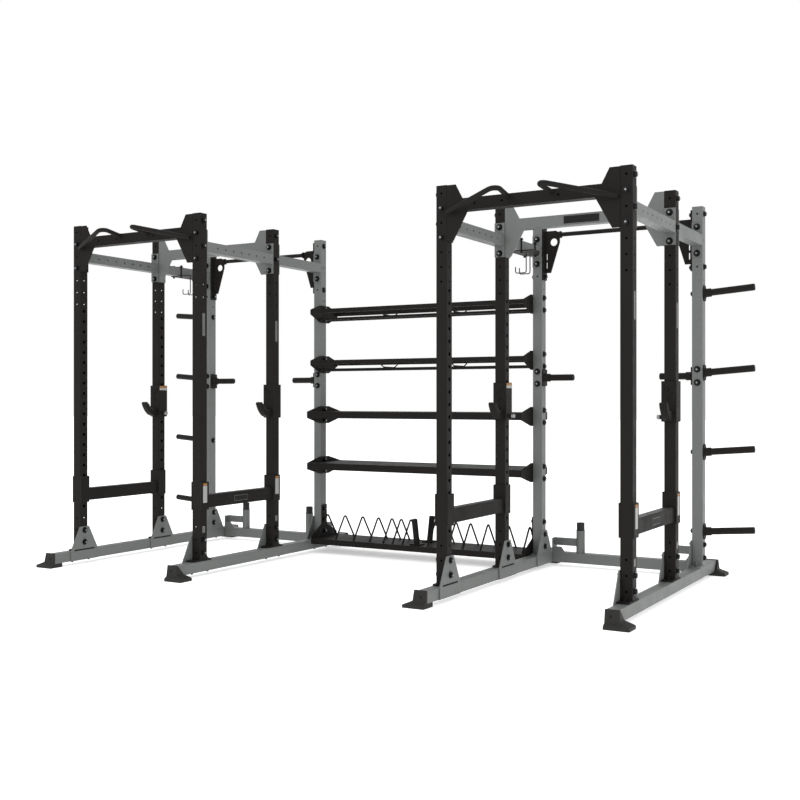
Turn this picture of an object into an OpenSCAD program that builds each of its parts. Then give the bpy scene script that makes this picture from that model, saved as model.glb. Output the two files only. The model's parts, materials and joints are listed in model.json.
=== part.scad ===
// Double power cage joined by a four-shelf storage bridge.
// X runs along the rig, Y from the open front to the back, Z is up.
// The origin is on the floor, in the middle of the rig's footprint.

/* [Frame] */
// Width of the square frame tube
tube = 76; // [72:1:80]
// Wall thickness of the frame tube
wall = 3; // [2:0.5:4]
// Height of the uprights' tops above the floor
rig_h = 2642; // [2600:1:2700]
// Left to right distance between a cage's uprights, on centres
cage_w = 1214; // [1150:1:1300]
// Front to middle distance between uprights, on centres
front_bay = 876; // [840:1:920]
// Middle to rear distance between uprights, on centres
rear_bay = 670; // [620:1:720]
// Distance between the facing uprights of the two cages, on centres
bridge_w = 2022; // [1900:1:2150]
// Depth of the rig over its feet
rig_d = 2280; // [2240:1:2340]
// Distance from the front foot's face to the front uprights' centres
toe = 336; // [300:1:360]

/* [Holes and bolts] */
// Spacing of the small bolt holes along the uprights
hole_pitch = 93.2; // [90:0.1:95]
// Diameter of the small bolt holes
hole_d = 14; // [13:0.5:15]
// Spacing of the large adjustment holes
adjust_pitch = 80.4; // [76:0.1:84]
// Diameter of the large adjustment holes
adjust_d = 25; // [20:1:28]
// Diameter of a bolt's shank
bolt_d = 12; // [10:0.5:12.5]

/* [Accessories] */
// Height of the rod cups' lower edge
cup_z = 1138; // [1000:1:1300]
// Height of the safety brackets' lower edge
safety_z = 478; // [400:1:560]
// Clearance between a sliding liner and its upright
slide_gap = 1; // [0.5:0.1:2]
// Length of the outer plate horns
outer_horn_l = 350; // [300:1:400]
// Length of the inner plate horns
inner_horn_l = 240; // [200:1:260]
// Upward tilt of the outer plate horns, in degrees
horn_tilt = 4.5; // [0:0.5:8]
// Bore of the bar holders' plastic liners
holder_bore = 52.4; // [51:0.1:54]

/* [Storage bridge] */
// Height of the highest shelf's bolt centre
top_shelf_z = 2009; // [1950:1:2050]
// Distance between shelves
shelf_pitch = 427; // [400:1:440]
// Depth of the bumper plate tray
tray_d = 376; // [340:1:420]

/* [Hidden] */
$fn = 48;

// Places in the frame
half = tube / 2;
cage_x = (bridge_w + cage_w) / 2;
side_x = cage_w / 2;
front_y = toe - rig_d / 2;
middle_y = front_y + front_bay;
rear_y = middle_y + rear_bay;
rail_z = 30;
rail_top = rail_z + tube;
foot_plate_t = 10;
rail_inset = 46;
flange_t = 8;

// Bolt rows are counted down from the top of an upright
top_row = rig_h - 51;
function row_z(n) = top_row - n * hole_pitch;
adjust_top = 1975;
adjust_count = 20;
face_rows = [0, 1, 2, 3, 4, 5, 6, 24, 25, 26];
rear_face_rows = [0, 1, 2, 3, 4];
side_rows = [0, 2, 4, 5, 6, 24, 25, 26];
horn_rows = [6, 12, 18, 24];
inner_horn_z = 1449.5;
shared_row = 12; // an inner horn's plate covers the end of the outer horn's bolt here
bolt_pair = 93;
shelves = 4;
cradle_shelves = 2;
function shelf_z(n) = top_shelf_z - n * shelf_pitch;

// Sliding fittings
liner_t = 3;
liner_in = half + slide_gap;
liner_out = liner_in + liner_t;
cup_h = 265;
cup_plate = 6;
boss_plate = 12;
plunger_z = cup_z + 30;
plunger_r = 8;
plunger_fit = 0.05;
housing_l = 20;
safety_h = 205;
safety_beam = [64, 91];
safety_beam_z = 12;
strip_t = 5;

// Colours
powder_black = [0.13, 0.13, 0.12];
powder_grey = [0.47, 0.49, 0.48];
plastic_black = [0.07, 0.07, 0.07];
bare_steel = [0.65, 0.66, 0.66];
zinc_black = [0.10, 0.10, 0.10];

// Placing helpers

module cages() {
    for (s = [-1, 1]) translate([s * cage_x, 0, 0]) children();
}

// Both sides of something symmetrical about x = 0
module mirrored() {
    children();
    mirror([1, 0, 0]) children();
}

// Each upright line of both cages: +X points away from the cage's middle
module lines() {
    cages() mirrored() translate([side_x, 0, 0]) children();
}

// The two upright lines at the ends of the rig: +X points outwards
module outer_lines() {
    mirrored() translate([cage_x + side_x, 0, 0]) children();
}

// The two upright lines that carry the bridge: +X points to the rig's middle
module bridge_lines() {
    mirrored() translate([side_x - cage_x, 0, 0]) children();
}

// One of the four upright lines, from left to right: +X points away from the cage's middle
module line(n) {
    translate([(n < 3 ? -1 : 1) * cage_x, 0, 0])
        mirror([n % 2, 0, 0]) translate([side_x, 0, 0]) children();
}

// Shapes that repeat

module block(size, at = [0, 0, 0]) {
    translate(at) cube(size, center = true);
}

// A block from its lowest to its highest corner
module span(low, high) {
    translate(low) cube(high - low);
}

module rod(r, length, axis = "z") {
    rotate(axis == "x" ? [0, 90, 0] : axis == "y" ? [-90, 0, 0] : [0, 0, 0])
        cylinder(r = r, h = length, center = true);
}

function unit(v) = v / norm(v);

// A path whose inner corners are rounded to radius r, with steps + 1 points along each arc
function rounded_path(points, r, steps = 6) = [
    for (i = [0 : len(points) - 1])
        if (i == 0 || i == len(points) - 1) points[i]
        else let (
            from = unit(points[i - 1] - points[i]),
            to = unit(points[i + 1] - points[i]),
            turn = 180 - acos(from * to),
            centre = points[i] + unit(from + to) * r / cos(turn / 2),
            start = points[i] + from * r * tan(turn / 2),
            out = unit(start - centre)
        )
        for (k = [0 : steps]) let (angle = turn * k / steps)
            centre + r * (cos(angle) * out - sin(angle) * from)
];

// A round bar swept along a path, where side is a direction that the path never runs along
module swept_bar(path, r, side, facets = 12) {
    last = len(path) - 1;
    function tangent(i) = unit(path[min(i + 1, last)] - path[max(i - 1, 0)]);
    rings = [for (i = [0 : last]) let (u = unit(cross(tangent(i), side)), v = cross(tangent(i), u))
        for (k = [0 : facets - 1]) let (angle = 360 * k / facets)
            path[i] + r * (cos(angle) * u + sin(angle) * v)];
    walls = [for (i = [0 : last - 1], k = [0 : facets - 1])
        let (a = i * facets, next = (k + 1) % facets) [a + k, a + next, a + facets + next, a + facets + k]];
    caps = [[for (k = [facets - 1 : -1 : 0]) k], [for (k = [0 : facets - 1]) last * facets + k]];
    polyhedron(points = rings, faces = concat(walls, caps));
}

// An outline in Y and Z, given a thickness along X that starts at x = 0
module side_plate(outline, t) {
    rotate([90, 0, 90]) linear_extrude(t) polygon(outline);
}

// An outline in X and Z, given a thickness along Y that starts at y = 0
module front_plate(outline, t) {
    translate([0, t, 0]) rotate([90, 0, 0]) linear_extrude(t) polygon(outline);
}

module rounded_square(w, r) {
    square([w - 2 * r, w], center = true);
    square([w, w - 2 * r], center = true);
    for (x = [-1, 1], y = [-1, 1]) translate([x, y] * (w / 2 - r)) circle(r);
}

// Square tube standing on z = 0, closed by a welded plate at its top
module upright_tube(length, r = 5) {
    difference() {
        linear_extrude(length) rounded_square(tube, r);
        translate([0, 0, -1]) linear_extrude(length - wall) square(tube - 2 * wall, center = true);
    }
}

module tube_x(length, w = tube, h = tube, t = wall) {
    difference() {
        block([length, w, h]);
        block([length + 2, w - 2 * t, h - 2 * t]);
    }
}

module tube_y(length, w = tube, h = tube, t = wall) {
    difference() {
        block([w, length, h]);
        block([w - 2 * t, length + 2, h - 2 * t]);
    }
}

// A washer with a domed head or nut on it
module bolt_head() {
    washer_t = 3;
    head_r = 14.5;
    head_h = 9;
    cylinder(r = 20, h = washer_t);
    translate([0, 0, washer_t]) cylinder(r = head_r, h = head_h);
    translate([0, 0, washer_t + head_h]) cylinder(r1 = head_r, r2 = 8, h = 5);
}

// A through bolt along Z, clamping everything from z = low to z = high
module bolt(low, high) {
    for (side = [[high, 0], [low, 180]])
        translate([0, 0, side[0]]) rotate([side[1], 0, 0]) bolt_head();
    translate([0, 0, low]) cylinder(d = bolt_d, h = high - low);
}

module bolt_x(low, high) { rotate([0, 90, 0]) bolt(low, high); }
module bolt_y(low, high) { rotate([-90, 0, 0]) bolt(low, high); }

// Base

module base_rails() color(powder_grey) lines() {
    length = rig_d - 2 * rail_inset;
    difference() {
        translate([0, 0, rail_z + half]) tube_y(length);
        for (y = [front_y, middle_y, rear_y], side = [-1, 1])
            translate([0, y + side * 85, rail_z + half]) rod(hole_d / 2, tube + 2);
    }
}

// One foot at the front end of a rail: a leaning nose over a lip that spreads outwards
module foot() {
    toe_x = 117;
    toe_d = 119;
    nose = 111;
    difference() {
        intersection() {
            front_plate([[-37, 0], [-37, nose], [50, nose], [56, 46], [toe_x, 20], [toe_x, 0]], toe_d);
            translate([-40, 0, 0])
                side_plate([[0, 0], [0, 20], [23, 35], [35, nose], [rail_inset, nose], [toe_d, 27], [toe_d, 0]], 160);
        }
        span([-half, rail_inset, rail_z], [half, 200, 200]);
    }
}

module front_feet() color(plastic_black) lines()
    translate([0, -rig_d / 2, 0]) foot();

module rear_feet() color(plastic_black) lines()
    translate([0, rig_d / 2, 0]) mirror([0, 1, 0]) foot();

beam_y = 947;

module rear_base_beams() color(powder_grey) cages() {
    reach = side_x - half - flange_t;
    gusset = [[reach + flange_t, rail_z], [reach + flange_t, 150], [reach - 68, 150], [reach - 100, rail_top],
        [reach - 100, rail_z]];
    translate([0, beam_y, rail_z + half]) tube_x(2 * reach);
    mirrored() {
        span([reach, beam_y - half - 6, rail_z], [reach + flange_t, beam_y + half, 215]);
        translate([0, beam_y - half - 6, 0]) front_plate(gusset, 6 + wall / 2);
    }
}

// Slotted plate that ties an upright's foot to its rail
module upright_gusset() {
    foot_w = 140;
    top_w = 46;
    difference() {
        side_plate([[-foot_w, rail_z], [-foot_w, rail_top], [-top_w, 290], [top_w, 290],
            [foot_w, rail_top], [foot_w, rail_z]], flange_t);
        block([20, 206, foot_plate_t + 1], [4, 0, rail_top + foot_plate_t / 2]);
        for (n = [25, 26]) translate([0, 0, row_z(n)]) rod(hole_d / 2, 40, "x");
    }
}

module upright_gussets() color(powder_grey) lines()
    for (y = [front_y, middle_y, rear_y])
        translate([-half - flange_t, y, 0]) upright_gusset();

// Uprights

// Small holes through the front and back faces, in the listed rows
module row_holes(list) {
    for (n = list) translate([0, 0, row_z(n)]) rod(hole_d / 2, tube + 2, "y");
}

module side_holes(list) {
    for (n = list) translate([0, 0, row_z(n)]) rod(hole_d / 2, tube + 2, "x");
}

// Large holes in the wall that faces into the cage
module adjust_holes() {
    for (n = [0 : adjust_count - 1])
        translate([-half, 0, adjust_top - n * adjust_pitch]) rod(adjust_d / 2, 4 * wall, "x");
}

// An upright with its welded foot plate
module upright() {
    foot_z = rail_top + foot_plate_t;
    translate([0, 0, foot_z]) upright_tube(rig_h - foot_z);
    difference() {
        translate([0, 0, rail_top]) linear_extrude(foot_plate_t)
            polygon([[-46, -102], [16, -102], [37, -86], [37, 86], [16, 102], [-46, 102]]);
        for (side = [-1, 1]) translate([0, side * 85, rail_top]) rod(hole_d / 2, 40);
    }
    for (side = [-1, 1]) translate([0, side * half, foot_z])
        rotate([0, 0, side > 0 ? 0 : 180])
            translate([-4, 0, 0]) side_plate([[0, 0], [28, 0], [0, 34]], 8);
}

module drilled_upright() {
    difference() {
        upright();
        row_holes(face_rows);
        side_holes(side_rows);
        adjust_holes();
    }
}

module front_uprights() color(powder_black) lines()
    translate([0, front_y, 0]) drilled_upright();

module middle_uprights() color(powder_black) lines()
    translate([0, middle_y, 0]) drilled_upright();

module shelf_bolt_holes() {
    for (n = [0 : shelves - 1], side = [-1, 1])
        translate([0, 0, shelf_z(n) + side * bolt_pair / 2]) rod(hole_d / 2, tube + 2, "x");
}

module inner_horn_bolt_holes() {
    for (side = [-1, 1])
        translate([0, 0, inner_horn_z + side * bolt_pair / 2]) rod(hole_d / 2, tube + 40, "y");
}

module rear_uprights() color(powder_grey) {
    outer_lines() translate([0, rear_y, 0]) difference() {
        upright();
        row_holes(rear_face_rows);
        side_holes(concat(side_rows, [12, 18]));
        inner_horn_bolt_holes();
    }
    bridge_lines() translate([0, rear_y, 0]) difference() {
        upright();
        row_holes(rear_face_rows);
        side_holes(side_rows);
        shelf_bolt_holes();
        inner_horn_bolt_holes();
    }
}

// Top frame

// Crossmember between a cage's left and right uprights, with a bolted flange and a flared front gusset at each end
module crossmember(face_holes = []) {
    reach = side_x - half;
    beam_low = 2472;
    low = 2284;
    high = rig_h - 3;
    plate_t = 5;
    beam_mid = beam_low + half;
    outline = [[reach, low], [reach, high], [reach - 63, high], [reach - 112, beam_low + tube],
        [reach - 153, beam_low], [reach - 48, low]];
    difference() {
        union() {
            translate([0, 0, beam_mid]) tube_x(2 * reach);
            mirrored() {
                span([reach - flange_t, -half, low], [reach, half, high]);
                translate([0, -half, 0]) front_plate(outline, plate_t);
            }
        }
        mirrored() for (n = [0, 2])
            translate([reach, 0, row_z(n)]) rod(hole_d / 2, 4 * flange_t, "x");
        for (n = face_holes)
            translate([n * 2 * hole_pitch, 0, beam_mid]) rod(hole_d / 2, tube + 2, "y");
    }
}

module front_crossmembers() color(powder_black) cages()
    translate([0, front_y, 0]) crossmember([-2, -1, 1, 2]);

module middle_crossmembers() color(powder_grey) cages()
    translate([0, middle_y, 0]) crossmember();

// Side beam between two uprights, centred on y = 0, with a bolted flange at each end
side_beam_z = 2402;

module side_beam(bay) {
    length = bay - tube;
    difference() {
        union() {
            tube_y(length);
            for (side = [-1, 1]) block([tube, flange_t, 240], [0, side * (length - flange_t) / 2, 5]);
        }
        for (n = [1, 3]) translate([0, 0, row_z(n) - side_beam_z])
            for (side = [-1, 1]) translate([0, side * length / 2, 0]) rod(hole_d / 2, 4 * flange_t, "y");
    }
}

module front_side_beams() color(powder_grey) lines()
    translate([0, front_y + front_bay / 2, side_beam_z]) difference() {
        side_beam(front_bay);
        for (n = [-3 : 3]) translate([0, n * hole_pitch, 0]) rod(hole_d / 2, tube + 2, "x");
    }

module rear_side_beams() color(powder_grey) lines()
    translate([0, middle_y + rear_bay / 2, side_beam_z]) side_beam(rear_bay);

// Bent handles welded in front of the front crossmember
module grip_handles() color(powder_black) cages() mirrored()
    translate([0, front_y - half, 0]) swept_bar(rounded_path([
        [side_x - half - 10, -17, 2464], [126, -212, 2560], [143, -3, 2530]], 26), 16, [0, 0, 1], 16);

bar_z = 2528;
bracket_reach = 129;

// Bracket that holds the rear pull-up bar: a bolted flange with an upright fin
module pull_up_bracket() {
    flange = 10;
    difference() {
        union() {
            span([0, -half, 2190], [flange, half, 2620]);
            translate([0, -5, 0]) front_plate([[0, 2243], [0, 2560], [98, 2560], [bracket_reach, 2545],
                [bracket_reach, 2470], [58, 2243]], 10);
        }
        for (n = [0, 4]) translate([0, 0, row_z(n)]) rod(hole_d / 2, 40, "x");
        translate([82, 0, 2474]) rod(28, 20, "y");
        for (z = [2300, 2365]) block([9, 20, 46], [26, 0, z]);
    }
}

module pull_up_brackets() color(powder_black) cages() mirrored()
    translate([side_x - half, rear_y, 0]) mirror([1, 0, 0]) pull_up_bracket();

module pull_up_bars() color(powder_black) cages()
    translate([0, rear_y, bar_z]) {
        length = 2 * (side_x - half - bracket_reach);
        rod(16, length, "x");
        mirrored() translate([length / 2 - 6, 0, 0]) rod(26, 12, "x");
    }

// Plate storage

// A plate horn along +X from its flange at x = 0
module horn(length, tilt, flange_h) {
    r = 24;
    side_plate([[-half, -flange_h / 4], [-half, flange_h / 4], [-18, flange_h / 2], [18, flange_h / 2],
        [half, flange_h / 4], [half, -flange_h / 4], [18, -flange_h / 2], [-18, -flange_h / 2]], 8);
    rotate([0, -tilt, 0]) {
        intersection() {
            rotate([0, 90, 0]) cylinder(r = 30, h = 50);
            rotate([0, tilt, 0]) span([2, -60, -60], [120, 60, 60]);
        }
        translate([20, 0, 0]) rotate([0, 90, 0]) cylinder(r = r, h = length - 24);
        translate([length - 4, 0, 0]) rotate([0, 90, 0]) cylinder(r1 = r, r2 = r - 3, h = 4);
    }
}

module outer_plate_horns() color(powder_black) outer_lines()
    for (n = horn_rows) translate([half, rear_y, row_z(n)]) horn(outer_horn_l, horn_tilt, 110);

module inner_plate_horns() color(powder_black) lines()
    translate([-half, rear_y, inner_horn_z]) {
        mirror([1, 0, 0]) horn(inner_horn_l, 0, 130);
        difference() {
            union() {
                span([-8, -half, -62], [0, half + 8, 62]);
                span([-8, half, -62], [60, half + 8, 62]);
            }
            for (side = [-1, 1])
                translate([half, half, side * bolt_pair / 2]) rod(hole_d / 2, 40, "y");
        }
    }

holder_x = side_x - 255;
holder_low = rail_top;
holder_top = 278;
holder_r = 33;
holder_inner_r = 30;

// Bar holder: an upright tube on the rear base beam, tied to the rail by an arm
module bar_holders() color(powder_grey) cages() mirrored() translate([0, beam_y, 0]) {
    reach = side_x - half - flange_t;
    difference() {
        union() {
            translate([holder_x, 0, holder_low]) cylinder(r = holder_r, h = holder_top - holder_low);
            span([holder_x, -15, 158], [reach, 15, 215]);
        }
        translate([holder_x, 0, holder_low - 1])
            cylinder(r = holder_inner_r, h = holder_top - holder_low + 2);
    }
}

module bar_holder_liners() color(plastic_black) cages() mirrored()
    translate([holder_x, beam_y, holder_low]) difference() {
        union() {
            cylinder(r = holder_inner_r, h = 233);
            translate([0, 0, holder_top - holder_low]) cylinder(r = holder_r - 1, h = 8);
        }
        translate([0, 0, -1]) cylinder(d = holder_bore, h = 235);
    }

// Accessory hooks, hung under the left rear side beam of each cage

hook_plate_t = 6;
hook_low_z = side_beam_z - half;

module left_rear_beams() {
    cages() translate([-side_x, middle_y, 0]) children();
}

module hook_plates() color(powder_black) left_rear_beams() {
    translate([0, 0, hook_low_z - hook_plate_t]) linear_extrude(hook_plate_t)
        polygon([[-48, 210], [-48, 520], [60, 520], [150, 330], [150, 210]]);
    for (y = [240, 490], x = [-1, 1]) translate([x * (half + 5), y, hook_low_z - 14]) {
        cylinder(r = 5, h = tube + 28);
        translate([0, 0, -3]) cylinder(r = 9, h = 11);
        translate([0, 0, tube + 20]) cylinder(r = 9, h = 11);
    }
    for (y = [240, 490]) span([-52, y - 14, hook_low_z + tube], [52, y + 14, hook_low_z + tube + 6]);
}

module accessory_hooks() color(zinc_black) left_rear_beams()
    for (y = [390, 460]) {
        top = hook_low_z - hook_plate_t;
        bottom = top - 136;
        swept_bar(rounded_path([[14, y, top], [14, y, bottom], [-72, y, bottom], [-72, y, bottom + 46]], 14),
            4, [0, 1, 0], 8);
    }

// Shelves of the bridge

bridge_half = bridge_w / 2 - half;
rail_up = 29;
cradle_half = 200;
flat_half = 248;
cradle_rail = 34;
cradle_plate = 41;
lower_bar = 20;
lower_bar_top = rail_up - 66;
flat_rail = 55;

module at_shelves(first, last) {
    for (n = [first : last]) translate([0, rear_y, shelf_z(n)]) children();
}

// Long hexagonal end plate of a shelf
module end_plate(reach, rail_h) {
    flat = 66;
    difference() {
        side_plate([[-reach, rail_up - rail_h], [-reach, rail_up], [-flat, 73], [flat, 73], [reach, rail_up],
            [reach, rail_up - rail_h], [flat, -73], [-flat, -73]], flange_t);
        for (side = [-1, 1]) translate([0, 0, side * bolt_pair / 2]) rod(hole_d / 2, 40, "x");
    }
}

module shelf_end_plates() color(powder_black) mirrored() translate([-bridge_half, 0, 0]) {
    at_shelves(0, cradle_shelves - 1) end_plate(cradle_half, cradle_plate);
    at_shelves(cradle_shelves, shelves - 1) end_plate(flat_half, flat_rail);
}

module cradle_shelf_rails() color(powder_black) at_shelves(0, cradle_shelves - 1) {
    length = 2 * (bridge_half - flange_t);
    for (side = [-1, 1]) {
        translate([0, side * (cradle_half - cradle_rail / 2), rail_up - cradle_rail / 2])
            tube_x(length, cradle_rail, cradle_rail, 3);
        translate([0, side * 72, lower_bar_top - lower_bar / 2]) tube_x(length, lower_bar, lower_bar, 2);
    }
}

// Wires that cross a cradle shelf, down from one rail and up to the other
module cradle_shelf_wires() color(powder_black) at_shelves(0, cradle_shelves - 1)
    for (x = [-324, 324]) translate([x, 0, 0]) {
        edge = cradle_half - cradle_rail - 2;
        low = lower_bar_top + 5;
        swept_bar(rounded_path([[0, 0.6 - edge, 8], [0, -88, low], [0, 88, low], [0, edge - 0.6, 8]], 20),
            5, [1, 0, 0], 8);
    }

module flat_shelf_rails() color(powder_black) at_shelves(cradle_shelves, shelves - 1)
    for (side = [-1, 1])
        translate([0, side * (flat_half - 20), rail_up - flat_rail / 2])
            tube_x(2 * (bridge_half - flange_t), 40, flat_rail, 3);

// Folded sheet between the rails of a flat shelf
module flat_shelf_trays() color(powder_black) at_shelves(cradle_shelves, shelves - 1)
    difference() {
        reach = flat_half - 40;
        block([2 * (bridge_half - flange_t) - 2, 2 * reach, 34], [0, 0, rail_up - 19]);
        block([2 * bridge_half, 2 * reach - 6, 34], [0, 0, rail_up - 23]);
    }

// Bumper plate tray

tray_low = 75;
tray_h = 46;
tray_wall = 3;
tray_end = bridge_half - flange_t;
divider_x = [116, 208, 296, 426, 580, 755, 933];

// A folded channel that is open below, with a stiffener under its middle
module plate_tray() color(powder_black) translate([0, rear_y, tray_low]) {
    block([2 * tray_end, tray_d, tray_wall], [0, 0, tray_h - tray_wall / 2]);
    for (side = [-1, 1]) {
        block([2 * tray_end, tray_wall, tray_h], [0, side * (tray_d - tray_wall) / 2, tray_h / 2]);
        block([2 * tray_end, 22, tray_wall], [0, side * (tray_d / 2 - 11), tray_wall / 2]);
    }
    block([110, tray_d - 10, 36], [0, 0, tray_h - tray_wall - 17]);
}

module tray_end_brackets() color(powder_black) bridge_lines() translate([half, rear_y, 0]) difference() {
    edge = tray_d / 2;
    side_plate([[-edge, tray_low], [-edge, 148], [-half, 226], [-half, 390], [half, 390], [half, 226],
        [edge, 148], [edge, tray_low]], flange_t);
    for (n = [24 : 26]) translate([0, 0, row_z(n)]) rod(hole_d / 2, 40, "x");
}

module tray_dividers() color(powder_black) mirrored() {
    foot = tray_low + tray_h + 3.6;
    for (x = divider_x) translate([x, rear_y, 0])
        swept_bar(rounded_path([[0, -140, foot], [0, 0, 318], [0, 140, foot]], 20, 5), 6, [1, 0, 0], 8);
}

// Posts that hold plates on edge, leaning outwards from the middle of the tray
module tray_posts() color(powder_black) translate([0, rear_y, tray_low + tray_h])
    for (turn = [0, 180]) rotate([0, 0, turn]) {
        translate([0, 105, 5]) block([90, 90, 10]);
        translate([0, 105, 0]) rotate([-11.5, 0, 0]) difference() {
            cylinder(r = 24, h = 212);
            translate([0, 0, -1]) rotate([11.5, 0, 0]) block([80, 80, 14], [0, 0, -1]);
        }
    }

// Bolts

module top_bolts() color(zinc_black) {
    lines() {
        for (y = [front_y, middle_y], n = [0, 2])
            translate([0, y, row_z(n)]) bolt_x(-half - flange_t, half);
        for (n = [1, 3]) {
            translate([0, front_y, row_z(n)]) bolt_y(-half, half + flange_t);
            translate([0, middle_y, row_z(n)]) bolt_y(-half - flange_t, half + flange_t);
            translate([0, rear_y, row_z(n)]) bolt_y(-half - flange_t, half);
        }
        for (n = [0, 4]) translate([0, rear_y, row_z(n)]) bolt_x(-half - 10, half);
    }
}

module base_bolts() color(zinc_black) {
    for (n = [25, 26]) {
        lines() for (y = [front_y, middle_y]) translate([0, y, row_z(n)]) bolt_x(-half - flange_t, half);
        outer_lines() translate([0, rear_y, row_z(n)]) bolt_x(-half - flange_t, half);
        bridge_lines() translate([0, rear_y, row_z(n)]) bolt_x(-half - flange_t, half + flange_t);
    }
    lines() for (y = [front_y, middle_y, rear_y], side = [-1, 1]) translate([0, y + side * 85, 0]) {
        translate([0, 0, rail_z - 14]) cylinder(r = 9, h = 14);
        translate([0, 0, rail_z - 1]) cylinder(d = bolt_d, h = rail_top + foot_plate_t - rail_z + 2);
        translate([0, 0, rail_top + foot_plate_t]) cylinder(r = 10, h = 5);
    }
}

module shelf_bolts() color(zinc_black) bridge_lines() translate([0, rear_y, 0]) {
    for (n = [0 : shelves - 1], side = [-1, 1])
        translate([0, 0, shelf_z(n) + side * bolt_pair / 2]) bolt_x(-half, half + flange_t);
    translate([0, 0, row_z(24)]) bolt_x(-half, half + flange_t);
}

module horn_bolts() color(zinc_black) {
    outer_lines() for (n = horn_rows) translate([0, rear_y, row_z(n)]) {
        if (n != shared_row) translate([-half, 0, 0]) rotate([0, -90, 0]) bolt_head();
        rod(bolt_d / 2, tube, "x");
    }
    lines() for (side = [-1, 1])
        translate([0, rear_y, inner_horn_z + side * bolt_pair / 2]) bolt_y(-half, half + 8);
}

// Rod cups, which slide on the middle uprights

// Ring around an upright, open at the back
module open_ring(outer_low, outer_high, inner, open_half, h) {
    difference() {
        span([outer_low.x, outer_low.y, 0], [outer_high.x, outer_high.y, h]);
        span([-inner, -inner, -1], [inner, inner, h + 1]);
        span([-open_half, 0, -1], [open_half, 100, h + 1]);
    }
}

cup_w = 50;
hook_front = 143;

module rod_cup() {
    face = liner_out + cup_plate;
    translate([0, 0, cup_z]) difference() {
        union() {
            open_ring([-liner_out - boss_plate, -face], [face - 1, face], liner_out, 26, cup_h);
            translate([-liner_out - boss_plate, 0, plunger_z - cup_z]) rotate([0, -90, 0])
                cylinder(r = 15, h = housing_l);
            translate([-cup_w / 2 - 3, -half, 0]) mirror([0, 1, 0])
                side_plate([[8, 4], [50, 10], [75, 21], [95, 38], [112, 56], [125, 75], [136, 95], [hook_front, 112],
                    [hook_front - 1, 119], [136, 124], [128, 126], [122, 124], [108, 100], [88, 72], [62, 56],
                    [8, 62]], cup_w);
        }
        translate([-liner_out - boss_plate - housing_l - 1, 0, plunger_z - cup_z])
            rotate([0, 90, 0]) cylinder(r = plunger_r, h = housing_l + boss_plate + 2);
        for (z = [140, 200]) translate([-3, -face, z]) rod(5, 30, "y");
        block([8, 30, 34], [-28, -face, 228]);
    }
}

// Plastic pads: one ring inside the cup's sleeve and one strip along its cradle
module cup_liner() {
    translate([0, 0, cup_z]) {
        open_ring([-liner_out, -liner_out], [liner_out, liner_out], liner_in, 26, cup_h);
        translate([-cup_w / 2 - 3 + 2, -half, 0]) mirror([0, 1, 0])
            side_plate([[liner_out + cup_plate - half, 61.9], [62, 56], [88, 72], [108, 100], [115.6, 113.3],
                [109, 115],
                [100, 104], [81, 79], [60, 65], [liner_out + cup_plate - half, 70]], cup_w - 4);
    }
}

// Spring plunger with a pull knob, drawn home with its nose flush inside the sleeve
module cup_plunger() {
    nose = -liner_out - 1;
    housing_end = -liner_out - boss_plate - housing_l;
    knob_l = 22;
    translate([0, 0, plunger_z]) rotate([0, -90, 0]) {
        translate([0, 0, -nose]) cylinder(r = plunger_r - plunger_fit, h = nose - housing_end + 1);
        translate([0, 0, -housing_end + 0.5]) cylinder(r = 15, h = knob_l - 3);
        translate([0, 0, -housing_end + knob_l - 2.5]) cylinder(r1 = 15, r2 = 12, h = 3);
    }
}

// Safety bars, which slide between the front and middle uprights

// Bracket that wraps the front upright, open towards the front
module safety_bracket() {
    face = liner_out + 6;
    difference() {
        span([-face, -half, 0], [face, face, safety_h]);
        span([-liner_out, -100, -1], [liner_out, liner_out, safety_h + 1]);
    }
}

module safety_bar() {
    low = front_y + liner_out + 6;
    high = middle_y - liner_out - 6;
    translate([0, 0, safety_z]) {
        translate([0, front_y, 0]) safety_bracket();
        translate([0, middle_y, 0]) mirror([0, 1, 0]) safety_bracket();
        translate([0, (low + high) / 2, safety_beam_z + safety_beam.y / 2])
            tube_y(high - low, safety_beam.x, safety_beam.y, 4);
    }
}

// Plastic pads: one in each bracket and one strip along the top of the bar
module safety_liner() {
    strip_l = front_bay - 2 * (liner_out + 6) - 20;
    strip_z = safety_beam_z + safety_beam.y;
    translate([0, 0, safety_z]) {
        for (end = [[front_y, 0], [middle_y, 1]]) translate([0, end[0], 0]) mirror([0, end[1], 0])
            difference() {
                span([-liner_out, -half, 0], [liner_out, liner_out, safety_h]);
                span([-liner_in, -100, -1], [liner_in, liner_in, safety_h + 1]);
            }
        block([safety_beam.x - 8, strip_l, strip_t],
            [0, (front_y + middle_y) / 2, strip_z + strip_t / 2]);
    }
}

module cup_at(n) { line(n) translate([0, middle_y, 0]) children(); }

base_rails();
front_feet();
rear_feet();
rear_base_beams();
upright_gussets();
front_uprights();
middle_uprights();
rear_uprights();
front_crossmembers();
middle_crossmembers();
front_side_beams();
rear_side_beams();
grip_handles();
pull_up_brackets();
pull_up_bars();
outer_plate_horns();
inner_plate_horns();
bar_holders();
bar_holder_liners();
hook_plates();
accessory_hooks();
shelf_end_plates();
cradle_shelf_rails();
cradle_shelf_wires();
flat_shelf_rails();
flat_shelf_trays();
plate_tray();
tray_end_brackets();
tray_dividers();
tray_posts();
top_bolts();
base_bolts();
shelf_bolts();
horn_bolts();
for (n = [1 : 4]) {
    color(powder_black) cup_at(n) rod_cup();
    color(plastic_black) cup_at(n) cup_liner();
    color(bare_steel) cup_at(n) cup_plunger();
    color(powder_black) line(n) safety_bar();
    color(plastic_black) line(n) safety_liner();
}
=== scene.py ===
import json
import math
import random

import bmesh
import bpy
from mathutils import Matrix, Vector


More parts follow.
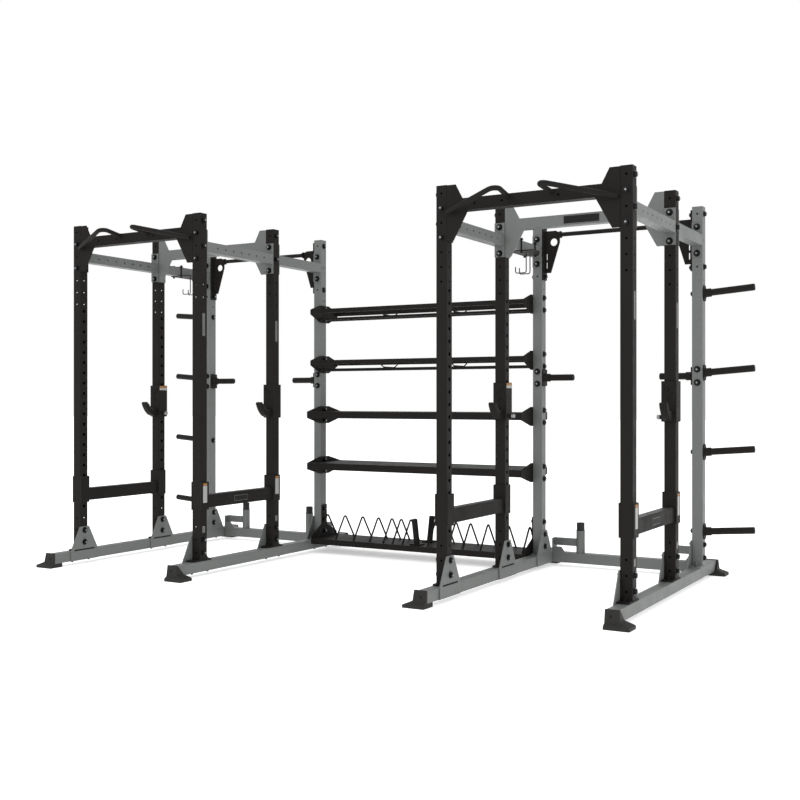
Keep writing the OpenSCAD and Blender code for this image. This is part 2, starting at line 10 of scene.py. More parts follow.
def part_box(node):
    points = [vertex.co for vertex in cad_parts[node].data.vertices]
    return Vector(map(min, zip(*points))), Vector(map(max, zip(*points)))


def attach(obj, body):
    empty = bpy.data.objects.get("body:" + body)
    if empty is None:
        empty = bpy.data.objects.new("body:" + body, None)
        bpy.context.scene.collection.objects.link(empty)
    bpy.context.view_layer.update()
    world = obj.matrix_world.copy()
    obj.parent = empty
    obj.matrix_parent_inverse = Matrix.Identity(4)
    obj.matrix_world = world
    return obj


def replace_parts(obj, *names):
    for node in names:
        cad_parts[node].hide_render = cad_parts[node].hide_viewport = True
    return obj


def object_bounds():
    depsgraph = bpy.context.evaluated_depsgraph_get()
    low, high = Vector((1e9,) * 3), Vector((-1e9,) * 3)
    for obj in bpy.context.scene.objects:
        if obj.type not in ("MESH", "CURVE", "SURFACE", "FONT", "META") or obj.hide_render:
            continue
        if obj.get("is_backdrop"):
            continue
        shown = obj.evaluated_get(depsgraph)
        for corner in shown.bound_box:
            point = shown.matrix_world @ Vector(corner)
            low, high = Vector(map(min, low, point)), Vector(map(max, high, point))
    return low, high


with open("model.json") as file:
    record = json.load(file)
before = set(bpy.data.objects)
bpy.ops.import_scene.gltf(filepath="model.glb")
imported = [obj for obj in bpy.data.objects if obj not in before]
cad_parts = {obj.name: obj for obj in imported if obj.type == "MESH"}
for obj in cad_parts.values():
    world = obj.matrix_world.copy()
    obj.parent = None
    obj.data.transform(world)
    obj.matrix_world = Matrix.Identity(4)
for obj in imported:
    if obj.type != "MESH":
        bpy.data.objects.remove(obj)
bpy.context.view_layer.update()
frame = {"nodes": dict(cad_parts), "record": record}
NODES = frame["nodes"]
random.seed(7)

# ---------------------------------------------------------------- places, from the frame (metres)

TUBE = 0.076
HALF = TUBE / 2
OUTER_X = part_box("base_rails")[1].x - HALF
INNER_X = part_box("shelf_end_plates")[1].x + HALF
CAGE_X = (OUTER_X + INNER_X) / 2
SIDE_X = (OUTER_X - INNER_X) / 2
CAGES_X = (-CAGE_X, CAGE_X)
LINES_X = [-OUTER_X, -INNER_X, INNER_X, OUTER_X]
INWARD = [1, -1, 1, -1]


def middle(node):
    low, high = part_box(node)
    return (low + high) / 2


FRONT_Y = middle("front_crossmembers").y
MIDDLE_Y = middle("middle_crossmembers").y
REAR_Y = middle("pull_up_bars").y
TOP_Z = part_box("front_uprights")[1].z
RAIL_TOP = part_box("base_rails")[1].z
FOOT_TOP = RAIL_TOP + 0.010

# ---------------------------------------------------------------- mesh helpers


def new_piece(name, bm, material, body="rig", sharp=35):
    """Makes an object from a bmesh, with smooth shading broken at sharp edges."""
    bmesh.ops.recalc_face_normals(bm, faces=bm.faces)
    mesh = bpy.data.meshes.new(name)
    bm.to_mesh(mesh)
    bm.free()
    mesh.materials.append(material)
    for face in mesh.polygons:
        face.use_smooth = True
    mesh.set_sharp_from_angle(angle=math.radians(sharp))
    piece = bpy.data.objects.new(name, mesh)
    bpy.context.scene.collection.objects.link(piece)
    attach(piece, body)
    return piece


def add_lathe(bm, profile, place, steps=28):
    """Turns a profile of (radius, height) about +Z, then puts it at a matrix. Radius 0 closes an end."""
    rings = []
    for radius, height in profile:
        if radius < 1e-7:
            rings.append([bm.verts.new(place @ Vector((0, 0, height)))])
            continue
        ring = []
        for k in range(steps):
            angle = 2 * math.pi * k / steps
            point = Vector((radius * math.cos(angle), radius * math.sin(angle), height))
            ring.append(bm.verts.new(place @ point))
        rings.append(ring)
    for below, above in zip(rings, rings[1:]):
        for k in range(steps):
            n = (k + 1) % steps
            if len(below) == 1:
                bm.faces.new([below[0], above[n], above[k]])
            elif len(above) == 1:
                bm.faces.new([below[k], below[n], above[0]])
            else:
                bm.faces.new([below[k], below[n], above[n], above[k]])


def add_tube(bm, path, radius, sides=16, closed=False, radii=None):
    """Sweeps a circle along a path of points, with ends closed."""
    count = len(path)
    tangents = []
    for i in range(count):
        ahead = path[(i + 1) % count] if closed or i < count - 1 else path[i]
        behind = path[i - 1] if closed or i > 0 else path[i]
        tangents.append((ahead - behind).normalized())
    start = tangents[0].orthogonal().normalized()
    rings = []
    for i, tangent in enumerate(tangents):
        start = (start - tangent * start.dot(tangent)).normalized()
        across = tangent.cross(start)
        r = radii[i] if radii else radius
        rings.append([
            bm.verts.new(path[i] + r * (math.cos(2 * math.pi * k / sides) * start
                                        + math.sin(2 * math.pi * k / sides) * across))
            for k in range(sides)])
    pairs = list(zip(rings, rings[1:]))
    if closed:
        pairs.append((rings[-1], rings[0]))
    for a, b in pairs:
        shift = 0
        if closed and b is rings[0]:
            shift = min(range(sides), key=lambda s: (a[0].co - b[s].co).length)
        for k in range(sides):
            bm.faces.new([a[k], a[(k + 1) % sides], b[(k + 1 + shift) % sides], b[(k + shift) % sides]])
    if not closed:
        bm.faces.new(list(reversed(rings[0])))
        bm.faces.new(rings[-1])


def rounded_path(points, radius, steps=8):
    """The points with each inner corner replaced by an arc."""
    out = [points[0]]
    for a, b, c in zip(points, points[1:], points[2:]):
        back, ahead = (a - b).normalized(), (c - b).normalized()
        turn = math.pi - back.angle(ahead)
        centre = b + (back + ahead).normalized() * radius / math.cos(turn / 2)
        start = b + back * radius * math.tan(turn / 2)
        spoke = (start - centre).normalized()
        for k in range(steps + 1):
            angle = turn * k / steps
            out.append(centre + radius * (math.cos(angle) * spoke - math.sin(angle) * back))
    return out + [points[-1]]


def turned_to(axis, place):
    """A matrix that takes +Z to an axis and the origin to a place."""
    return Matrix.Translation(place) @ Vector(axis).to_track_quat("Z", "Y").to_matrix().to_4x4()


def islands(node):
    """The separate solids of a CAD node, each as a list of its points."""
    bm = bmesh.new()
    bm.from_mesh(NODES[node].data)
    bmesh.ops.remove_doubles(bm, verts=bm.verts, dist=1e-5)
    seen, groups = set(), []
    for first in bm.verts:
        if first in seen:
            continue
        stack, group = [first], []
        seen.add(first)
        while stack:
            v = stack.pop()
            group.append(v.co.copy())
            for e in v.link_edges:
                other = e.other_vert(v)
                if other not in seen:
                    seen.add(other)
                    stack.append(other)
        groups.append(group)
    bm.free()
    return groups


def extent(points):
    """The low and high corners of the box round some points."""
    low = Vector([min(p[i] for p in points) for i in range(3)])
    high = Vector([max(p[i] for p in points) for i in range(3)])
    return low, high


# ---------------------------------------------------------------- materials


def shader(name):
    """A new material, with its node tree and its surface node."""
    material = bpy.data.materials.new(name)
    material.use_nodes = True
    tree = material.node_tree
    return material, tree, tree.nodes["Principled BSDF"]


def node(tree, kind, **values):
    """A new node, with values for its inputs or its settings."""
    made = tree.nodes.new(kind)
    for key, value in values.items():
        if key in made.inputs:
            made.inputs[key].default_value = value
        else:
            setattr(made, key, value)
    return made


def object_place(tree, scale=(1, 1, 1)):
    """The point on the surface in the row's own frame, stretched by a scale."""
    place = node(tree, "ShaderNodeTexCoord")
    mapping = node(tree, "ShaderNodeMapping")
    mapping.inputs["Scale"].default_value = scale
    tree.links.new(place.outputs["Object"], mapping.inputs["Vector"])
    return mapping.outputs["Vector"]


def cloud(tree, place, scale, detail=3.0, rough=0.55):
    """Noise from 0 to 1, in patches that shrink as the scale grows."""
    made = node(tree, "ShaderNodeTexNoise")
    made.inputs["Scale"].default_value = scale
    made.inputs["Detail"].default_value = detail
    made.inputs["Roughness"].default_value = rough
    tree.links.new(place, made.inputs["Vector"])
    return made.outputs["Fac"]


def ramp(tree, value, stops):
    """A colour ramp through (position, colour) stops."""
    made = node(tree, "ShaderNodeValToRGB")
    elements = made.color_ramp.elements
    while len(elements) < len(stops):
        elements.new(0.5)
    for element, (position, colour) in zip(elements, stops):
        element.position = position
        element.color = (*colour, 1) if len(colour) == 3 else colour
    tree.links.new(value, made.inputs["Fac"])
    return made.outputs["Color"]


def remap(tree, value, low, high, start=0.3, end=0.7):
    """A value's run from start to end, stretched to run from low to high."""
    made = node(tree, "ShaderNodeMapRange")
    made.inputs["From Min"].default_value = start
    made.inputs["From Max"].default_value = end
    made.inputs["To Min"].default_value = low
    made.inputs["To Max"].default_value = high
    tree.links.new(value, made.inputs["Value"])
    return made.outputs["Result"]


def blend_colour(tree, amount, a, b):
    """Goes from colour a to colour b by an amount."""
    made = node(tree, "ShaderNodeMix", data_type="RGBA", blend_type="MIX")
    for value, socket in ((amount, made.inputs[0]), (a, made.inputs[6]), (b, made.inputs[7])):
        if hasattr(value, "is_linked"):
            tree.links.new(value, socket)
        else:
            socket.default_value = (*value, 1) if isinstance(value, tuple) else value
    return made.outputs[2]


def bump(tree, height, strength, distance, below=None):
    """A surface relief from a height, over another relief if one is given."""
    made = node(tree, "ShaderNodeBump")
    made.inputs["Strength"].default_value = strength
    made.inputs["Distance"].default_value = distance
    tree.links.new(height, made.inputs["Height"])
    if below:
        tree.links.new(below, made.inputs["Normal"])
    return made.outputs["Normal"]


def tint(colour, factor):
    return tuple(c * factor for c in colour)


def powder_coat(name, colour, roughness, gloss, scuff):
    """Baked powder paint: a fine orange-peel skin, faint cloudy tone and light handling scuffs."""
    material, tree, bsdf = shader(name)
    place = object_place(tree)
    tone = cloud(tree, place, 2.2, 2.0)
    speck = cloud(tree, place, 1100.0, 2.0)
    base = ramp(tree, tone, [(0.25, tint(colour, 0.93)), (0.75, tint(colour, 1.07))])
    speckled = blend_colour(tree, remap(tree, speck, 0.0, 0.30, 0.45, 0.75), base, tint(colour, 1.35))
    streaks = cloud(tree, object_place(tree, (9.0, 9.0, 55.0)), 2.0, 4.0, 0.7)
    marks = remap(tree, streaks, 0.0, scuff, 0.68, 0.84)
    worn = blend_colour(tree, marks, speckled, tint(colour, 1.9))
    tree.links.new(worn, bsdf.inputs["Base Color"])
    smudge = cloud(tree, place, 11.0, 4.0)
    tree.links.new(remap(tree, smudge, roughness - 0.05, roughness + 0.08), bsdf.inputs["Roughness"])
    skin = cloud(tree, place, 420.0, 2.0)
    wave = bump(tree, skin, 0.22, 0.0005)
    tree.links.new(bump(tree, speck, 0.15, 0.0003, wave), bsdf.inputs["Normal"])
    bsdf.inputs["Specular IOR Level"].default_value = gloss
    return material


def moulded(name, colour, roughness, grain_scale=1400.0):
    """Moulded plastic or rubber: a stippled skin with a dusty bloom."""
    material, tree, bsdf = shader(name)
    place = object_place(tree)
    bloom = cloud(tree, place, 9.0, 5.0, 0.65)
    stops = [(0.3, tint(colour, 0.85)), (0.62, tint(colour, 1.1)), (0.85, tint(colour, 1.7))]
    tree.links.new(ramp(tree, bloom, stops), bsdf.inputs["Base Color"])
    tree.links.new(remap(tree, bloom, roughness - 0.05, roughness + 0.12), bsdf.inputs["Roughness"])
    stipple = node(tree, "ShaderNodeTexVoronoi")
    stipple.inputs["Scale"].default_value = grain_scale
    tree.links.new(place, stipple.inputs["Vector"])
    tree.links.new(bump(tree, stipple.outputs["Distance"], 0.35, 0.0004), bsdf.inputs["Normal"])
    bsdf.inputs["Specular IOR Level"].default_value = 0.3
    return material


def metal(name, colour, roughness, brush=(1, 1, 1), tarnish=0.8):
    """Bare or plated metal with fine brushing and darker tarnish."""
    material, tree, bsdf = shader(name)
    place = object_place(tree)
    lines = cloud(tree, object_place(tree, brush), 60.0, 4.0, 0.7)
    patches = cloud(tree, place, 25.0, 4.0)
    base = ramp(tree, patches, [(0.3, tint(colour, tarnish)), (0.7, colour)])
    tree.links.new(base, bsdf.inputs["Base Color"])
    tree.links.new(remap(tree, lines, roughness - 0.08, roughness + 0.12), bsdf.inputs["Roughness"])
    tree.links.new(bump(tree, lines, 0.15, 0.0003), bsdf.inputs["Normal"])
    bsdf.inputs["Metallic"].default_value = 1.0
    return material


def printed(name, colour, roughness=0.42):
    """Printed vinyl film: slightly uneven ink over a fine paper-like bump."""
    material, tree, bsdf = shader(name)
    place = object_place(tree)
    ink = cloud(tree, place, 120.0, 4.0)
    stops = [(0.3, tint(colour, 0.92)), (0.7, tint(colour, 1.04))]
    tree.links.new(ramp(tree, ink, stops), bsdf.inputs["Base Color"])
    tree.links.new(remap(tree, ink, roughness - 0.04, roughness + 0.08), bsdf.inputs["Roughness"])
    tree.links.new(bump(tree, ink, 0.1, 0.0002), bsdf.inputs["Normal"])
    bsdf.inputs["Specular IOR Level"].default_value = 0.25
    return material


BLACK = powder_coat("black_powder_coat", (0.0115, 0.0104, 0.0096), 0.52, 0.07, 0.30)
GREY = powder_coat("grey_powder_coat", (0.119, 0.1257, 0.1209), 0.46, 0.32, 0.15)
FOOT = moulded("foot_plastic", (0.0118, 0.0112, 0.0098), 0.62)
LINER = moulded("liner_plastic", (0.010, 0.010, 0.011), 0.45, 900.0)
PLATED = metal("black_zinc", (0.022, 0.022, 0.023), 0.28)
STEEL = metal("bare_steel", (0.30, 0.305, 0.30), 0.34, (1, 40, 40))
LABEL_WHITE = printed("label_white", (0.30, 0.30, 0.29))
LABEL_ORANGE = printed("label_orange", (0.28, 0.115, 0.023))
LABEL_GREY = printed("label_grey", (0.11, 0.11, 0.105))
PLATE_BLACK = printed("plate_black", (0.002, 0.002, 0.002), 0.6)

SLOTS = {
    "black_powder_coat": BLACK, "grey_powder_coat": GREY, "foot_plastic": FOOT,
    "liner_plastic": LINER, "black_zinc": PLATED, "bare_steel": STEEL,
}

# ---------------------------------------------------------------- CAD nodes: materials and rounded edges

# Width of each node's rounded edges; a node that isn't listed keeps its CAD edges
ROUNDED = {
    "base_rails": 0.005, "rear_base_beams": 0.004, "upright_gussets": 0.0015, "front_feet": 0.005,
    "rear_feet": 0.005, "middle_crossmembers": 0.003,
    "rear_side_beams": 0.003, "bar_holders": 0.002, "bar_holder_liners": 0.002, "hook_plates": 0.0012,
    "shelf_end_plates": 0.0015, "cradle_shelf_rails": 0.004, "flat_shelf_rails": 0.004,
    "flat_shelf_trays": 0.002, "plate_tray": 0.0012, "tray_end_brackets": 0.0015, "tray_posts": 0.0015,
    "pull_up_brackets": 0.0015, "inner_plate_horns": 0.0012, "outer_plate_horns": 0.0012,
}
for n in range(1, 5):
    ROUNDED[f"rod_cup_{n}"] = 0.0018
    ROUNDED[f"cup_liner_{n}"] = 0.0008
    ROUNDED[f"safety_bar_{n}"] = 0.003
    ROUNDED[f"safety_liner_{n}"] = 0.0008

node_slot = {part["node"]: part["material_slot"] for part in frame["record"]["subparts"]}


def finish_cad_node(name, obj):
    """Gives a CAD node its material and, where it has a width in ROUNDED, rounded edges."""
    material = SLOTS[node_slot[name]]
    for slot in obj.material_slots:
        slot.material = material
    if not obj.material_slots:
        obj.data.materials.append(material)
    width = ROUNDED.get(name)
    if width:
        weld = obj.modifiers.new("weld", "WELD")
        weld.merge_threshold = 1e-5
        bevel = obj.modifiers.new("edges", "BEVEL")
        bevel.width = width
        bevel.segments = 2
        bevel.limit_method = "ANGLE"
        bevel.angle_limit = math.radians(50)
        bevel.use_clamp_overlap = True


for name, obj in NODES.items():
    finish_cad_node(name, obj)

# ---------------------------------------------------------------- bolts

# Outlines turned about a bolt, as (radius, height over the seat)
WASHER = [(0.0235, 0.0), (0.0235, 0.0026), (0.0226, 0.0036), (0.0, 0.0036)]
NUT = [(0.0168, 0.0032), (0.0168, 0.0118), (0.0158, 0.0142), (0.0136, 0.0158), (0.0074, 0.0165),
       (0.0, 0.0165)]
TIP = [(0.0066, 0.0155), (0.0066, 0.0188), (0.0056, 0.0202), (0.0, 0.0206)]

# The CAD bolts: a head's height, how far from an end its points are looked for, and the widths that tell an end
# without a head from a peg, and a peg from a head
HEAD_H = 0.017
HEAD_REACH = 0.020
HEADLESS_R = 0.0075
LARGEST_PEG_R = 0.012
SHANK_R = 0.006
SHANK_INSET = 0.004


def add_cap(bm, profile, place, axis, steps=24):
    """Turns a profile about an axis at a place, with its first end closed."""
    add_lathe(bm, [(0.0, profile[0][1])] + profile, turned_to(axis, place), steps)


def peg_profile(radius, height):
    """Outline of a plain rounded peg end."""
    return [(radius, -0.0004), (radius, height - 0.0028), (radius - 0.0012, height - 0.0008),
            (radius - 0.0045, height - 0.0001), (0.0, height)]


def bolt_ends(points):
    """A CAD bolt's heads, each as its seat, its outward axis and, for a small peg, the peg's outline."""
    low, high = extent(points)
    along = max(range(3), key=lambda i: (high - low)[i])
    across = [i for i in range(3) if i != along]
    centre = (low + high) / 2
    ends = []
    for sign in (1, -1):
        end = high[along] if sign > 0 else low[along]
        near = []
        for p in points:
            inside = abs(p[along] - end)
            if inside < HEAD_REACH:
                near.append((math.hypot(*(p[i] - centre[i] for i in across)), inside))
        radius = max(r for r, _ in near)
        if radius < HEADLESS_R:
            continue
        small = radius < LARGEST_PEG_R
        height = max(h for r, h in near if r > radius - 0.001) if small else HEAD_H
        seat = centre.copy()
        seat[along] = end - sign * height
        axis = Vector((0, 0, 0))
        axis[along] = sign
        ends.append((seat, axis, peg_profile(radius, height) if small else None))
    return ends


tips = bmesh.new()
for name in ("top_bolts", "base_bolts", "shelf_bolts", "horn_bolts"):
    bm = bmesh.new()
    for points in islands(name):
        low, high = extent(points)
        along = max(range(3), key=lambda i: (high - low)[i])
        shaft_low, shaft_high = (low + high) / 2, (low + high) / 2
        shaft_low[along], shaft_high[along] = low[along] + SHANK_INSET, high[along] - SHANK_INSET
        add_tube(bm, [shaft_low, shaft_high], SHANK_R - 0.0005, 12)
        for seat, axis, peg in bolt_ends(points):
            if peg:
                add_cap(bm, peg, seat, axis)
                continue
            add_cap(bm, WASHER, seat, axis, 32)
            add_cap(bm, NUT, seat, axis)
            add_cap(tips, TIP, seat, axis, 16)
    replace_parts(new_piece(name + "_domed", bm, PLATED, sharp=30), name)
new_piece("bolt_tips", tips, STEEL, sharp=30)

# ---------------------------------------------------------------- screws on the feet's sloping noses

SCREW = [(0.0075, -0.002), (0.0075, 0.0008), (0.0062, 0.0022), (0.0026, 0.0026), (0.0022, 0.0008),
         (0.0, 0.0008)]
# The sloping face: a screw's height on it, how far that is behind the foot's end, and which way the face looks
NOSE_Z, NOSE_LEAN = 0.072, 0.029
NOSE_OUT, NOSE_UP = 0.988, 0.156
screws = bmesh.new()
front_end, back_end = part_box("front_feet")[0].y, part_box("rear_feet")[1].y
for line_x in LINES_X:
    add_cap(screws, SCREW, (line_x, front_end + NOSE_LEAN, NOSE_Z), (0, -NOSE_OUT, NOSE_UP))
    add_cap(screws, SCREW, (line_x, back_end - NOSE_LEAN, NOSE_Z), (0, NOSE_OUT, NOSE_UP))
new_piece("foot_screws", screws, PLATED, sharp=30)

# ---------------------------------------------------------------- bent bars


def arc_bar(name, paths, radius, bend, material, replaced, sides=16):
    """Smooth round bars in place of a CAD node's faceted ones."""
    bm = bmesh.new()
    for path in paths:
        add_tube(bm, rounded_path([Vector(p) for p in path], bend, 10), radius, sides)
    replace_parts(new_piece(name, bm, material, sharp=40), replaced)


HANDLE_R = 0.016
handles = []
for cage in CAGES_X:
    for side in (-1, 1):
        handles.append([
            (cage + side * (SIDE_X - HALF - 0.010), FRONT_Y - HALF - 0.017, TOP_Z - 0.178),
            (cage + side * 0.126, FRONT_Y - HALF - 0.212, TOP_Z - 0.082),
            (cage + side * 0.143, FRONT_Y - HALF - 0.001, TOP_Z - 0.112)])
arc_bar("grip_handles_smooth", handles, HANDLE_R, 0.042, BLACK, "grip_handles", 24)

HOOK_R = 0.004
HOOK_STEM, HOOK_TIP, HOOK_RISE = 0.014, 0.072, 0.050
HOOKS_BEHIND = (0.390, 0.460)
hook_low, hook_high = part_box("accessory_hooks")
hooks = []
for line_x in (LINES_X[0], LINES_X[2]):
    for behind in HOOKS_BEHIND:
        y = MIDDLE_Y + behind
        hooks.append([
            (line_x + HOOK_STEM, y, hook_high.z), (line_x + HOOK_STEM, y, hook_low.z + HOOK_R),
            (line_x - HOOK_TIP, y, hook_low.z + HOOK_R), (line_x - HOOK_TIP, y, hook_low.z + HOOK_RISE)])
arc_bar("accessory_hooks_smooth", hooks, HOOK_R, 0.014, PLATED, "accessory_hooks", 12)

WIRE_R = 0.005
CRADLE_WIRE_X, CRADLE_STEP, CRADLE_DROP, CRADLE_FLAT = 0.324, 0.427, 0.045, 0.088
wires_low, wires_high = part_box("cradle_shelf_wires")
wires_deep = (wires_high.y - wires_low.y) / 2 - 0.0005
wires = []
for x in (-CRADLE_WIRE_X, CRADLE_WIRE_X):
    for high_z in (wires_high.z, wires_high.z - CRADLE_STEP):
        top, bottom = high_z - WIRE_R, high_z - CRADLE_DROP
        wires.append([(x, REAR_Y - wires_deep, top), (x, REAR_Y - CRADLE_FLAT, bottom),
                      (x, REAR_Y + CRADLE_FLAT, bottom), (x, REAR_Y + wires_deep, top)])
arc_bar("cradle_wires_smooth", wires, WIRE_R, 0.020, BLACK, "cradle_shelf_wires", 12)

DIVIDER_R = 0.0072
DIVIDER_DEEP, DIVIDER_TOP = 0.140, 0.318
DIVIDERS_X = [0.116, 0.208, 0.296, 0.426, 0.580, 0.755, 0.933]
TRAY_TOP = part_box("plate_tray")[1].z
dividers = []
for x in DIVIDERS_X:
    for side in (-1, 1):
        dividers.append([(side * x, REAR_Y - DIVIDER_DEEP, TRAY_TOP), (side * x, REAR_Y, DIVIDER_TOP),
                         (side * x, REAR_Y + DIVIDER_DEEP, TRAY_TOP)])
arc_bar("tray_dividers_smooth", dividers, DIVIDER_R, 0.022, BLACK, "tray_dividers", 12)

# ---------------------------------------------------------------- weld beads


def bead_radii(count, radius):
    """A rippled bead: its thickness swells and shrinks along its run."""
    return [radius * (1 + 0.16 * math.sin(i * 1.9) + random.uniform(-0.06, 0.06)) for i in range(count)]


def add_ring_bead(bm, centre, axis, ring_r, radius=0.003, points=40):
    """A bead round a bar that stands on a face."""
    place = turned_to(axis, centre)
    path = []
    for k in range(points):
        angle = 2 * math.pi * k / points
        path.append(place @ Vector((ring_r * math.cos(angle), ring_r * math.sin(angle), 0)))
    add_tube(bm, path, radius, 8, closed=True, radii=bead_radii(points, radius))


def add_square_bead(bm, centre, half, radius=0.0035, per_side=16):
    """A bead round a square tube that stands on a plate."""
    corner = 0.005
    path = []
    for turn in range(4):
        spin = Matrix.Rotation(turn * math.pi / 2, 3, "Z")
        for k in range(per_side):
            t = -half + corner + (2 * half - 2 * corner) * k / (per_side - 1)
            path.append(Vector(centre) + spin @ Vector((half, t, 0)))
    add_tube(bm, path, radius, 8, closed=True, radii=bead_radii(len(path), radius))


black_beads, grey_beads = bmesh.new(), bmesh.new()
for line_x in LINES_X:
    for y, beads in ((FRONT_Y, black_beads), (MIDDLE_Y, black_beads), (REAR_Y, grey_beads)):
        add_square_bead(beads, (line_x, y, FOOT_TOP), HALF)
for path in handles:
    add_ring_bead(black_beads, path[-1], (0, 1, 0), HANDLE_R + 0.001)
HORN_FACE = HALF + 0.0085
HORN_R = 0.030
HOLE_PITCH = 0.0932
OUTER_HORNS_Z = [2.0318 - 6 * HOLE_PITCH * k for k in range(4)]
INNER_HORN_Z = 1.4495
for sign, line_x in ((-1, LINES_X[0]), (1, LINES_X[3])):
    for z in OUTER_HORNS_Z:
        add_ring_bead(black_beads, (line_x + sign * HORN_FACE, REAR_Y, z), (1, 0, 0), HORN_R)
for line_x, inward in zip(LINES_X, INWARD):
    add_ring_bead(black_beads, (line_x + inward * HORN_FACE, REAR_Y, INNER_HORN_Z), (1, 0, 0), HORN_R)
for side in (-1, 1):
    for x in DIVIDERS_X:
        for y in (-DIVIDER_DEEP, DIVIDER_DEEP):
            wire_end = (side * x, REAR_Y + y, TRAY_TOP)
            add_ring_bead(black_beads, wire_end, (0, 0, 1), DIVIDER_R + 0.0015, 0.002, 16)
HOLDER_Y = middle("bar_holders").y
HOLDER_INSET = 0.255
HOLDER_R = 0.033
for cage in CAGES_X:
    for side in (-1, 1):
        holder_x = cage + side * (SIDE_X - HOLDER_INSET)
        add_ring_bead(grey_beads, (holder_x, HOLDER_Y, RAIL_TOP), (0, 0, 1), HOLDER_R)
new_piece("black_welds", black_beads, BLACK, sharp=60)
new_piece("grey_welds", grey_beads, GREY, sharp=60)

# ---------------------------------------------------------------- blank plates and labels

FILM = 0.0008
PLATE_LIFT = 0.0012


def add_film(bm, centre, normal, up, width, height, thick=FILM, corner=0.003):
    """A thin rounded plate lying on a surface, where normal points out of it."""
    normal, up = Vector(normal), Vector(up)
    across = up.cross(normal)
    outline = []
    for sx, sy, start in ((1, 1, 0), (-1, 1, 90), (-1, -1, 180), (1, -1, 270)):
        for k in range(4):
            angle = math.radians(start + 30 * k)
            outline.append((sx * (width / 2 - corner) + corner * math.cos(angle),
                            sy * (height / 2 - corner) + corner * math.sin(angle)))
    under = [bm.verts.new(Vector(centre) + across * u + up * v) for u, v in outline]
    over = [bm.verts.new(Vector(centre) + across * u + up * v + normal * thick) for u, v in outline]
    count = len(outline)
    bm.faces.new(over)
    bm.faces.new(list(reversed(under)))
    for k in range(count):
        n = (k + 1) % count
        bm.faces.new([under[k], under[n], over[n], over[k]])


films = {}


def film(group, body, material, *args, **kw):
    """Adds a film to the piece that holds every film of one material on one body."""
    key = (group, body)
    if key not in films:
        films[key] = (bmesh.new(), material)
    add_film(films[key][0], *args, **kw)


X, Z = (1, 0, 0), (0, 0, 1)
BADGE_Z, SMALL_LABEL_Z = 1.83, 0.335
# Labelled faces of a rod cup, a safety bar's bracket and its beam, from an upright's centre line
CUP_FACE, BAR_FACE, BEAM_FACE = 0.054, 0.048, 0.032
beam_z = TOP_Z - 0.132
for cage in CAGES_X:
    face = (cage, MIDDLE_Y - HALF, beam_z)
    film("nameplate_rims", "rig", LABEL_GREY, face, (0, -1, 0), Z, 0.261, 0.058, thick=0.0016, corner=0.004)
    face = Vector(face) - Vector((0, PLATE_LIFT, 0))
    film("nameplates", "rig", PLATE_BLACK, face, (0, -1, 0), Z, 0.253, 0.050, thick=0.0012)
for line_x in (LINES_X[1], LINES_X[3]):
    for y in (FRONT_Y, MIDDLE_Y):
        film("side_badges", "rig", LABEL_GREY, (line_x + HALF, y, BADGE_Z), X, Z, 0.028, 0.165)
for line_x, inward in zip(LINES_X, INWARD):
    for y in (FRONT_Y, MIDDLE_Y):
        place = (line_x - inward * HALF, y, SMALL_LABEL_Z)
        film("small_labels", "rig", LABEL_GREY, place, (-inward, 0, 0), Z, 0.030, 0.045)
for n, (line_x, inward) in enumerate(zip(LINES_X, INWARD), 1):
    cup_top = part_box(f"rod_cup_{n}")[1].z
    face_x = line_x + inward * CUP_FACE
    out = (inward, 0, 0)
    for colour, material, drop, height in (("orange", LABEL_ORANGE, 0.011, 0.015),
                                           ("white", LABEL_WHITE, 0.0295, 0.020)):
        place = (face_x, MIDDLE_Y, cup_top - drop)
        film(f"cup_label_{colour}", f"cup_{n}", material, place, out, Z, 0.088, height)
    bar_low, bar_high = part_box(f"safety_bar_{n}")
    out = (-inward, 0, 0)
    face_x = line_x - inward * BAR_FACE
    for y in (FRONT_Y + 0.004, MIDDLE_Y - 0.004):
        for colour, material, drop, height in (("white", LABEL_WHITE, 0.090, 0.125),
                                               ("orange", LABEL_ORANGE, 0.018, 0.015)):
            place = (face_x, y, bar_high.z - drop)
            film(f"bar_label_{colour}", f"safety_{n}", material, place, out, Z, 0.044, height)
    place = (line_x - inward * BEAM_FACE, (FRONT_Y + MIDDLE_Y) / 2, bar_low.z + 0.0575)
    film("bar_plate_rims", f"safety_{n}", LABEL_GREY, place, out, Z, 0.160, 0.042, thick=0.0012)
    place = Vector(place) + FILM * Vector(out)
    film("bar_plates", f"safety_{n}", PLATE_BLACK, place, out, Z, 0.154, 0.036, thick=0.0010)
for (group, body), (bm, material) in films.items():
    new_piece(f"{group}_{body}", bm, material, body, sharp=30)

# ---------------------------------------------------------------- plunger knobs

# Outlines turned about a plunger, as (radius, height over the face they stand on)
KNOB = [(0.0078, -0.0020), (0.0078, 0.0004), (0.0140, 0.0006), (0.0150, 0.0018), (0.0150, 0.0042),
        (0.0142, 0.0050), (0.0142, 0.0060), (0.0150, 0.0068), (0.0150, 0.0100), (0.0142, 0.0108),
        (0.0142, 0.0118), (0.0150, 0.0126), (0.0150, 0.0170), (0.0143, 0.0198), (0.0120, 0.0215),
        (0.0060, 0.0219), (0.0, 0.0219)]
NOSE = [(0.0066, 0.0), (0.0077, 0.0014), (0.0077, 0.0300), (0.0, 0.0300)]
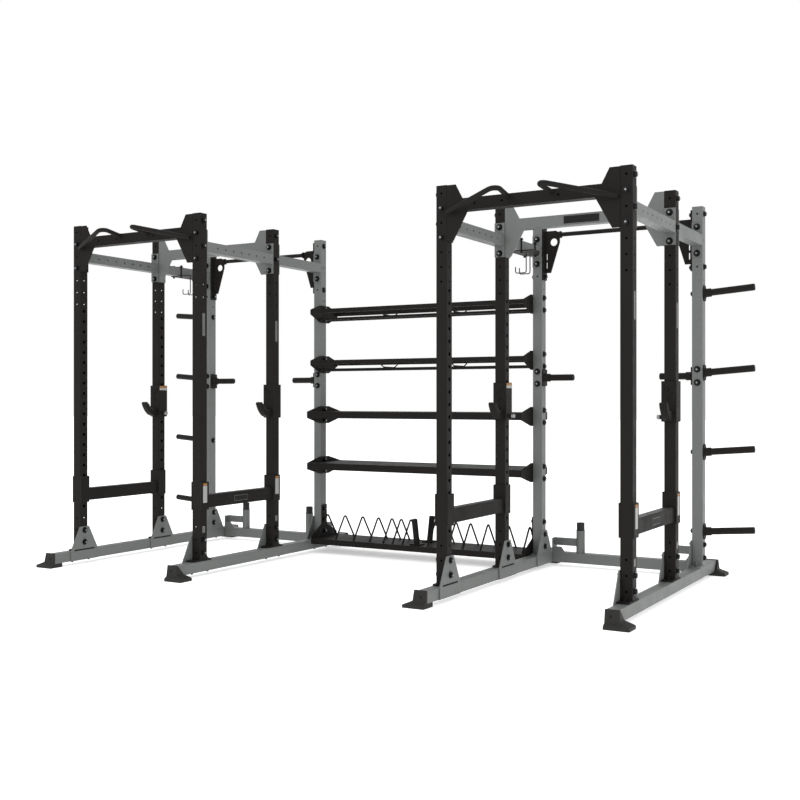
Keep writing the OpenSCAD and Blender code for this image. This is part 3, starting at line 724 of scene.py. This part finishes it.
# How far those faces are from the upright's centre line
KNOB_FACE, NOSE_FACE = 0.0743, 0.0432
for n, (line_x, inward) in enumerate(zip(LINES_X, INWARD), 1):
    out = (inward, 0, 0)
    middle_z = middle(f"cup_plunger_{n}").z
    bm = bmesh.new()
    add_cap(bm, KNOB, (line_x + inward * KNOB_FACE, MIDDLE_Y, middle_z), out, 40)
    add_cap(bm, NOSE, (line_x + inward * NOSE_FACE, MIDDLE_Y, middle_z), out, 32)
    piece = new_piece(f"plunger_knob_{n}", bm, STEEL, f"plunger_{n}", sharp=30)
    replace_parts(piece, f"cup_plunger_{n}")

# ---------------------------------------------------------------- stage, camera and light

CAMERA_PLACE = Vector((4.243, FRONT_Y - 6.083, 1.280))
CAMERA_TURN = 29.7
LENS = 48.57
SHIFT = -0.0147

camera = bpy.data.objects.new("camera", bpy.data.cameras.new("camera"))
bpy.context.scene.collection.objects.link(camera)
camera.location = CAMERA_PLACE
camera.rotation_euler = (math.radians(90), 0, math.radians(CAMERA_TURN))
camera.data.lens = LENS
camera.data.sensor_width = 36
camera.data.shift_x = SHIFT
camera.data.clip_end = 200
bpy.context.scene.camera = camera


def area_light(name, place, target, size, power):
    data = bpy.data.lights.new(name, "AREA")
    data.shape = "RECTANGLE"
    data.size, data.size_y = size
    data.energy = power
    light = bpy.data.objects.new(name, data)
    bpy.context.scene.collection.objects.link(light)
    light.location = place
    light.rotation_euler = (Vector(target) - Vector(place)).to_track_quat("-Z", "Y").to_euler()


area_light("front_softbox", (-2.0, -9.0, 6.5), (0, 0, 1.2), (7, 5), 150)
area_light("right_softbox", (9.5, -3.0, 4.0), (0, 0, 1.2), (5, 5), 155)
area_light("top_softbox", (0, 0, 8.0), (0, 0, 0), (9, 6), 150)

world = bpy.data.worlds.new("studio")
world.use_nodes = True
world.node_tree.nodes["Background"].inputs["Color"].default_value = (1, 1, 1, 1)
world.node_tree.nodes["Background"].inputs["Strength"].default_value = 1.0
bpy.context.scene.world = world
bpy.context.scene.view_settings.view_transform = "Standard"

bm = bmesh.new()
bmesh.ops.create_grid(bm, x_segments=1, y_segments=1, size=60)
floor_mesh = bpy.data.meshes.new("floor")
bm.to_mesh(floor_mesh)
bm.free()
floor_material, floor_tree, floor_bsdf = shader("pale_floor")
floor_grain = cloud(floor_tree, object_place(floor_tree), 3.0, 3.0)
floor_tint = ramp(floor_tree, floor_grain, [(0.3, (0.93, 0.93, 0.93)), (0.7, (0.955, 0.955, 0.955))])
floor_tree.links.new(floor_tint, floor_bsdf.inputs["Base Color"])
floor_bsdf.inputs["Roughness"].default_value = 0.85
floor_bsdf.inputs["Emission Color"].default_value = (1, 1, 1, 1)
floor_bsdf.inputs["Emission Strength"].default_value = 0.45
floor_mesh.materials.append(floor_material)
floor = bpy.data.objects.new("floor", floor_mesh)
bpy.context.scene.collection.objects.link(floor)
floor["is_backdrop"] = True

low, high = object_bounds()
